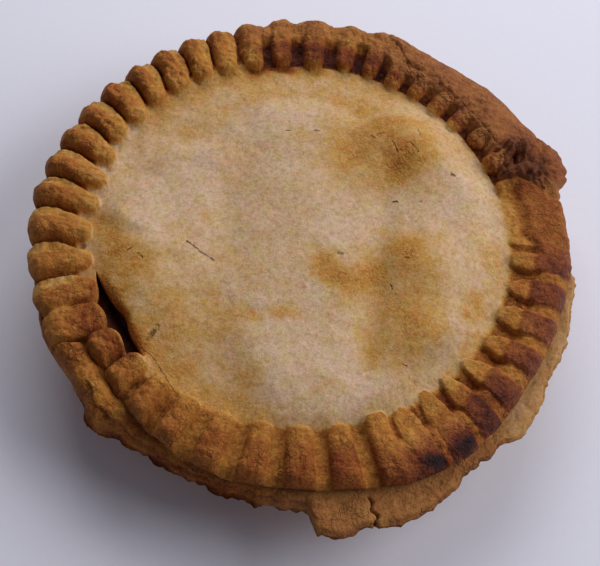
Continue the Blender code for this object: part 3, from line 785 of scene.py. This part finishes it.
def pastry_material(name, marks):
    """Baked pastry, from the mesh's bake with its painted shading, dry and gloss values, with
    mottling, crumb and marks.
    """
    nodes = Nodes(name)
    bake = nodes.value("bake")
    crumb = nodes.noise(1, 3, 0.6)
    grit = nodes.noise(0.45, 2, 0.6)
    baked = bake
    for size, detail, strength in ((7, 5, 0.34), (2.3, 4, 0.26)):
        shift = nodes.math("SUBTRACT", nodes.noise(size, detail, 0.62), 0.5)
        baked = nodes.scaled(shift, strength, baked)
    baked = nodes.scaled(nodes.math("SUBTRACT", crumb, 0.5), 0.3, baked)
    colour = nodes.ramp(baked, BAKED)
    tint = nodes.noise(5, 3, 0.55, 0.4)
    tints = nodes.ramp(tint, ((0.36, (1.04, 0.96, 1)), (0.5, WHITE), (0.64, (0.98, 1.01, 0.84))))
    colour = nodes.mix(1, colour, tints, "MULTIPLY")
    dusty = nodes.times(nodes.value("dry"), nodes.scaled(crumb, 0.8, 0.6))
    colour = nodes.mix(dusty, colour, DUSTY)
    light = nodes.math("MAXIMUM", nodes.scaled(bake, -1.8, 0.9), 0)
    flour = nodes.ramp(nodes.noise(0.8, 2, 0.5), ((0.6, (0, 0, 0)), (0.72, (0.8, 0.8, 0.8))))
    colour = nodes.mix(nodes.times(flour, light), colour, FLOUR)
    flakes = nodes.ramp(nodes.noise(1.7, 4, 0.7),
                        ((0.34, (0.8, 0.77, 0.7)), (0.5, WHITE), (0.66, (1.1, 1.1, 1.1))))
    colour = nodes.mix(1, colour, flakes, "MULTIPLY")
    pits = nodes.ramp(grit, ((0.3, (0.6, 0.52, 0.44)), (0.44, WHITE)))
    colour = nodes.mix(0.75, colour, pits, "MULTIPLY")
    crumbly = nodes.math("MINIMUM", nodes.scaled(bake, 3, -0.9), nodes.scaled(bake, -6, 4.5))
    craze = nodes.cracks(2.4, crumbly)
    colour = nodes.mix(nodes.times(craze, 0.35), colour, CRAZE)
    broken = nodes.ramp(nodes.noise(2, 2, 0.5), ((0.35, (0.25, 0.25, 0.25)), (0.6, WHITE)))
    mark = nodes.times(nodes.nearness(marks, 1.3), broken)
    colour = nodes.mix(nodes.times(mark, 0.75), colour, MARK)
    nodes.connect("Base Color", colour)
    base_rough = nodes.scaled(crumb, 0.25, 0.62)
    nodes.connect("Roughness", nodes.math("SUBTRACT", base_rough, nodes.value("gloss")))
    relief = nodes.math("MAXIMUM", nodes.scaled(bake, 2, -0.2), 0.26)
    normal = nodes.bump(nodes.noise(2.6, 3, 0.6), 1, nodes.times(relief, 0.6))
    normal = nodes.bump(crumb, 0.75, relief, normal)
    normal = nodes.bump(grit, 0.3, nodes.times(relief, 0.8), normal)
    normal = nodes.bump(nodes.math("SUBTRACT", 1, craze), 0.6, 0.8, normal)
    normal = nodes.bump(nodes.math("SUBTRACT", 1, mark), 0.8, 0.9, normal)
    nodes.connect("Normal", normal)
    nodes.shader.inputs["Specular IOR Level"].default_value = 0.22
    return nodes.material


def filling_material():
    """Moist brown mince with paler bits of potato and onion."""
    nodes = Nodes("meat_and_potato_mix")
    bits = nodes.noise(4, 3, 0.6, 0.6)
    crumb = nodes.noise(1.2, 4, 0.6)
    colour = nodes.ramp(bits, ((0.32, (0.03, 0.013, 0.01)), (0.5, (0.085, 0.04, 0.028)),
                               (0.62, (0.16, 0.085, 0.055)), (0.74, (0.34, 0.24, 0.14))))
    shade = nodes.ramp(crumb, ((0.35, (0.5, 0.45, 0.42)), (0.6, WHITE)))
    colour = nodes.mix(0.5, colour, shade, "MULTIPLY")
    nodes.connect("Base Color", colour)
    nodes.connect("Roughness", nodes.scaled(crumb, 0.5, 0.25))
    nodes.connect("Normal", nodes.bump(crumb, 0.8, 0.9))
    return nodes.material


def floor_material():
    """A plain pale lavender-grey surface."""
    nodes = Nodes("plain_floor")
    fine = nodes.noise(3, 2, 0.5)
    colour = nodes.ramp(fine, ((0.2, (0.8, 0.81, 0.93)), (0.8, (0.82, 0.83, 0.95))))
    nodes.connect("Base Color", colour)
    nodes.connect("Roughness", nodes.scaled(fine, 0.1, 0.5))
    return nodes.material


# ---------------- baking and painted shading of the surfaces
# Bake levels round the rim, as (angle, level): inner tips, outer ends, and grooves between crimps.
# The grooves are burnt dark at the top; from about 110° round to 250° their darker levels are
# partly painted shade in the creases between the crimps.
TIP_BAKE = (
    (10, 0.5), (22, 0.49), (62, 0.49), (74, 0.5), (96, 0.49), (108, 0.42), (170, 0.37),
    (205, 0.42), (225, 0.42), (250, 0.45), (275, 0.47), (300, 0.46), (320, 0.49), (345, 0.5))
END_BAKE = (
    (5, 0.6), (24, 0.62), (66, 0.61), (76, 0.52), (100, 0.52), (120, 0.54), (170, 0.555),
    (205, 0.5), (225, 0.53), (245, 0.56), (265, 0.61), (285, 0.64), (296, 0.67), (308, 0.69),
    (318, 0.72), (328, 0.67), (340, 0.69), (350, 0.75), (358, 0.71))
GROOVE_BAKE_AND_SHADE = (
    (5, 0.55), (20, 0.74), (68, 0.78), (76, 0.8), (106, 0.78), (114, 0.76), (170, 0.74),
    (205, 0.6), (222, 0.57), (240, 0.54), (251, 0.47), (290, 0.46), (300, 0.6), (312, 0.7),
    (322, 0.62), (345, 0.6))
FOLD_DRY = 0.32
# Golden, brown and floury patches of the lid: x, y, long and short half widths, turn, strength.
# A few are painted light rather than bake: the dark patch along the lid's edge by the split
# (-67, -20) is painted shade, the dark one at the lower left (-34, -50) is partly golden bake and
# partly painted shade on the slope that faces away from the light, and the pale one low in the
# middle (2, -60) is painted light on a shaded slope.
PATCHES = (
    (25.5, 38.5, 22, 18, 0, 0.38), (33, 40, 10, 8, -60, 0.08), (29, 27, 9, 7, 0, 0.07),
    (20, 42, 8, 7, 0, 0.06), (42, 46, 10, 7, -30, 0.11), (38, -22, 30, 14, 88, 0.12),
    (39, -12, 15, 13, 0, 0.2), (39, -36, 15, 12, 20, 0.19), (34, -50, 9, 7, 0, 0.11),
    (10, -16, 8, 6.5, 0, 0.4), (19, -20, 8, 6.5, -30, 0.22), (14, -18, 16, 11, -20, 0.09),
    (-3, -35, 5, 3, 0, 0.22), (-15, -37, 5, 3, 0, 0.2), (-12, -59, 7, 5, 60, 0.1),
    (2, -60, 28, 16, 0, -0.06), (15, -62, 6, 3, 0, 0.1), (63, -24, 6, 5, 0, 0.24),
    (70, -10, 7, 12, 0, 0.1), (60, -50, 20, 6, 55, 0.12), (-34, -50, 30, 17, -42, 0.1),
    (-62, -17, 10, 7, -30, 0.08), (-67, -20, 24, 7, -62, 0.19), (-36, -1, 3, 3, 0, 0.12),
    (-17, 73.5, 9, 2.2, 8, 0.4), (-2, 74.5, 6, 2, 0, 0.26), (12, -1, 8, 6, -40, -0.07),
    (4, 26, 5, 10, 0, -0.03), (-6, 48, 13, 4, -8, -0.06), (-45, 10, 20, 16, 30, -0.06),
    (62, 25, 10, 12, -60, -0.05), (73, 9, 5, 9, 0, -0.07))
MOST_GOLDEN = 0.38
# Burnt spots: angle, radius, half width in degrees, half depth, strength
BURNS = (
    (318.5, 95, 3.2, 7, 0.2), (309.5, 97.5, 3.8, 5, 0.26), (300.5, 99, 4.2, 4.5, 0.3),
    (202.3, 82.8, 0.9, 1.1, 0.35))


def patches(points):
    """Sum of the patches at points: mostly golden bake, with a few painted shade and painted light
    patches.
    """
    total = np.zeros(len(points))
    warped = points[:, :2] + 3 * np.stack([noise(points, 9, 111), noise(points, 9, 113)], -1)
    for *place, strength in PATCHES:
        total += strength * np.exp(-oval(warped[:, 0], warped[:, 1], *place) ** 1.6)
    total *= 1 + 0.6 * rough(points, 8, 115)
    return MOST_GOLDEN * np.tanh(total / MOST_GOLDEN)


def mesh_arrays(thing):
    """Points and the float attributes of a mesh as arrays."""
    mesh = thing.data
    points = np.empty(len(mesh.vertices) * 3, np.float32)
    mesh.vertices.foreach_get("co", points)
    values = {}
    for layer in mesh.attributes:
        if layer.data_type == "FLOAT":
            values[layer.name] = np.empty(len(mesh.vertices), np.float32)
            layer.data.foreach_get("value", values[layer.name])
    return points.reshape(-1, 3).astype(float) / MM, values


def store(thing, **values):
    """Writes surface values onto a mesh and drops the ones used to work them out."""
    layers = thing.data.attributes
    for key in [layer.name for layer in layers if layer.data_type == "FLOAT"]:
        layers.remove(layers[key])
    for key, value in values.items():
        layer = layers.new(key, "FLOAT", "POINT")
        layer.data.foreach_set("value", np.asarray(value, np.float32))


def floor_bake(points, angle):
    """Bake of the lid inside its crimps: pale, with golden patches and a golden moat; at the lower
    left the moat and some patches are partly painted shade, and one pale patch is painted light.
    """
    radius = np.hypot(points[:, 0], points[:, 1])
    beyond = radius - plateau_edge(points[:, 0], points[:, 1])
    moat_and_shade = within(angle, 62, 146, 16) * eased(beyond, 7, 5)
    # at the lower left the darker moat is partly golden bake and partly painted shade on the slope
    # that faces away from the light
    moat_and_shade += 0.9 * within(angle, 186, 266, 16) * smooth(beyond / 9)
    towards_rim = eased(radius, 66, 10) * (1 - within(angle, 150, 205, 20))
    floor = 0.09 + patches(points) + 0.05 * rough(points, 16, 121)
    return floor + 0.12 * moat_and_shade * (1 + 0.6 * rough(points, 12, 123)) + 0.07 * towards_rim


def crimp_bake(points, share, across, angle, inward):
    """Bake on top of the crimps: golden at their tips, browner towards their outer ends."""
    blocks = within(angle, 313, 360, 6)
    begins = 0.12 + 0.24 * blocks + 0.34 * within(angle, 293, 313, 8)
    outward = eased(share, begins, 0.45 - 0.33 * blocks)
    outward *= 1 - 0.75 * blocks * (1 - eased(across, 0.72, 0.22))
    tip_level = along(TIP_BAKE, angle)
    roll = tip_level + (along(END_BAKE, angle) - tip_level) * outward
    return roll + 0.05 * rough(points, 6, 131) - 0.16 * blocks * (1 - smooth(inward / 7))


def groove_bake(floor, angle, inward):
    """Bake between the crimps: that of the lid's floor at first, then darker, partly as painted
    shade in the creases.
    """
    pale = 4.5 * within(angle, 112, 235, 8)
    direct = within(angle, 24, 108, 5)
    groove_and_shade = floor + (along(GROOVE_BAKE_AND_SHADE, angle) - floor) * eased(inward, pale, 3 - 2 * direct)
    outer = eased(inward, 9, 4)
    groove_and_shade += (0.61 - groove_and_shade) * outer * within(angle, 24, 98, 6)
    return groove_and_shade + (0.5 - groove_and_shade) * outer * within(angle, 304, 358, 6)


def burn_bake(points, angle, inward, on_roll):
    """What the burnt spots, and the dark inner ends of the crimps at the top, add to the bake."""
    top = within(angle, 72, 112, 5)
    inner = np.exp(-((inward - 5.5) / (3 + 1.5 * top)) ** 2)
    bake = within(angle, 24, 108, 5) * inner * ((0.12 + 0.08 * top) * on_roll + 0.05)
    radius = np.hypot(points[:, 0], points[:, 1])
    for centre, middle, width, depth, strength in BURNS:
        away = (angle - centre + 180) % 360 - 180
        spot = np.exp(-(away / width) ** 2 - ((radius - middle) / depth) ** 2)
        bake += strength * spot * (0.75 + 0.4 * noise(points, 4, 141))
    return bake


def bake_lid(lid):
    """Pale lid with golden patches, crimps browned towards their ends, and painted shade beside
    the split and in the creases between crimps.
    """
    points, values = mesh_arrays(lid)
    share, across, angle = values["share"], values["across"], values["angle"]
    inward = share * (RIM_RADIUS - TIP_RADIUS)
    on_roll = eased(share, -0.07, 0.03) * smooth(across * 2.6)
    floor = floor_bake(points, angle)
    groove_and_shade = groove_bake(floor, angle, inward)
    roll = crimp_bake(points, share, across, angle, inward) - 0.17 * values["web"]
    bake = groove_and_shade + (roll - groove_and_shade) * on_roll
    shells = within(angle, 206, 290, 6) * on_roll
    bake -= 0.14 * shells * (1 - eased(inward, 0.6, 2.4))
    # the plain band browns outwards, with no crimps
    edge_of_band = 4 + 3 * rough(points, 5, 133)
    bare = floor + 0.24 * eased(inward, -1.5, 3.5)
    bare += (0.6 - bare) * eased(inward, edge_of_band, 6)
    bake += (bare - bake) * within(angle, 3, 19, 5)
    bake += burn_bake(points, angle, inward, on_roll)
    # painted shade: the lid's lip is darkened where it curls down into the steam split, and so are
    # the grooves just beside the split
    painted_shade_by_split = 0.2 * eased(share, -0.22, 0.2) + 0.1 * (share > -0.005) * (1 - on_roll)
    bake += smooth(values["opening"] * 3) * painted_shade_by_split
    gloss = within(angle, 296, 362, 8) * eased(share, 0.35, 0.2) * smooth(across * 2)
    dry = FOLD_DRY * within(angle, 24, 74, 10) * eased(inward, 7, 3)
    dry += 0.22 * within(angle, 74, 112, 10) * eased(inward, 10, 5)
    store(lid, bake=np.clip(bake, 0, 1), dry=dry, gloss=0.26 * gloss)


def bake_case(case):
    """Dry, light brown rim and folds, browner lump and a golden side and base, with painted shade
    on the drooping rim at the lower left, and the case made dark where it shows inside the steam
    split.
    """
    points, values = mesh_arrays(case)
    share, folded, lump, angle = (values[key] for key in ("share", "across", "opening", "angle"))
    rim = smooth(share)
    side = 0.42 + 0.08 * rough(points, 22, 151) + 0.05 * rough(points, 7, 153)
    steep = within(angle, 20, 80, 4) * folded
    # from 236° to 277° the drooping rim is darker: partly its bake, partly painted shade under the
    # lid's edge
    rim_bake = 0.48 + 0.06 * within(angle, 208, 232, 8) + 0.12 * within(angle, 236, 277, 8)
    rim_bake += 0.12 * lump - 0.22 * within(angle, 318, 362, 8)
    ragged = within(angle, 226, 362, 6)
    flaky = within(angle, *FLAKY, 4)
    flat = points * (1, 1, 0)
    step = layer_step(flat, share - 1)
    rim_bake += flaky * (0.14 * 4 * step * (1 - step) - 0.06 * (1 - step))
    rim_bake += ragged * 0.13 * eased(share, 1.86, 0.12) * (0.7 + 0.9 * noise(points, 4, 159))
    rim_bake += 0.05 * rough(points, 6, 155) + 0.14 * crack_lines(points, 7, 157)
    radius = np.hypot(points[:, 0], points[:, 1])
    torn = lump * (1 - 0.75 * eased(radius, 96, 6))
    rim_bake += (0.62 + 0.18 * torn - rim_bake) * steep + 0.05 * rough(points, 6, 131)
    bake = side + (rim_bake - side) * rim
    dry = 0.45 * rim * (1 - within(angle, 205, 270, 10))
    dry += (FOLD_DRY * (1 - 0.4 * lump) - dry) * steep
    # the case is made dark where it shows deep inside the steam split
    dark_in_split = within(angle, SPLIT_START - 3, SPLIT_END + 3, 3)
    dark_in_split *= smooth((84 - radius) / 2)
    height = points[:, 2]
    dark_in_split *= (height > 20) & ((radius < SPLIT_RADIUS) | (height > 29))
    bake += (0.86 - bake) * dark_in_split
    dry *= 1 - dark_in_split
    store(case, bake=np.clip(bake, 0, 1), dry=dry, gloss=0 * dry)


# ---------------- stage
def make_floor():
    """The plain floor, which is stage."""
    bpy.ops.mesh.primitive_plane_add(size=4)
    floor = bpy.context.object
    floor.name = "floor"
    floor.data.materials.append(floor_material())


# Windows: name, place and power; the size of both, and their colour
WINDOWS = (("right_window", (1.0, 0.22, 0.8), 10.3), ("far_window", (-0.1, 1.0, 0.78), 8.8))
WINDOW_SIZE = (1.0, 0.8)
WINDOW_COLOUR = (1.0, 0.985, 0.985)


def soft_light(name, place, power):
    """A window's light, aimed at the pie."""
    lamp = bpy.data.lights.new(name, "AREA")
    lamp.energy = power
    lamp.shape = "RECTANGLE"
    lamp.size, lamp.size_y = WINDOW_SIZE
    lamp.color = WINDOW_COLOUR
    thing = add_object(name, lamp)
    thing.location = place
    aim = Vector((0, 0, 0.03)) - Vector(place)
    thing.rotation_euler = aim.to_track_quat("-Z", "Y").to_euler()


def make_light():
    """Two soft windows and a dim sky."""
    for name, place, power in WINDOWS:
        soft_light(name, place, power)
    world = bpy.data.worlds.new("room")
    bpy.context.scene.world = world
    world.use_nodes = True
    sky = world.node_tree.nodes["Background"]
    sky.inputs["Color"].default_value = (0.94, 0.9, 1.0, 1)
    sky.inputs["Strength"].default_value = 0.13
    bpy.context.scene.view_settings.view_transform = "Standard"


CAMERA_ELEVATION = 61.87
CAMERA_DISTANCE = 0.42
CAMERA_AIM = (0.0013, -0.0226, 0.038)
CAMERA_ROLL = 6.38
CAMERA_LENS = 70.5


def make_camera():
    """The camera at the photograph's viewing angle."""
    camera = bpy.data.cameras.new("camera")
    camera.sensor_width = 36
    camera.lens = CAMERA_LENS
    thing = add_object("camera", camera)
    tilt = math.radians(CAMERA_ELEVATION)
    back = Vector((0, -math.cos(tilt), math.sin(tilt)))
    place = Vector(CAMERA_AIM) + back * CAMERA_DISTANCE
    level = (Vector((1, 0, 0)), Vector((0, math.sin(tilt), math.cos(tilt))), back)
    turned = Matrix(level).transposed().to_4x4()
    roll = Matrix.Rotation(math.radians(CAMERA_ROLL), 4, "Z")
    thing.matrix_world = Matrix.Translation(place) @ turned @ roll
    bpy.context.scene.camera = thing


def main():
    make_camera()
    make_floor()
    make_light()
    lid = make_lid()
    case = make_case()
    filling = make_filling()
    bake_lid(lid)
    bake_case(case)
    lid.data.materials.append(pastry_material("lid_pastry", LID_MARKS))
    case.data.materials.append(pastry_material("case_pastry", RIM_MARKS))
    filling.data.materials.append(filling_material())
    for piece, node, slot in ((lid, "lid", "lid_pastry"), (case, "case", "case_pastry"),
                              (filling, "filling", "meat_and_potato")):
        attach(piece, "root")
        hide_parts(node)


main()
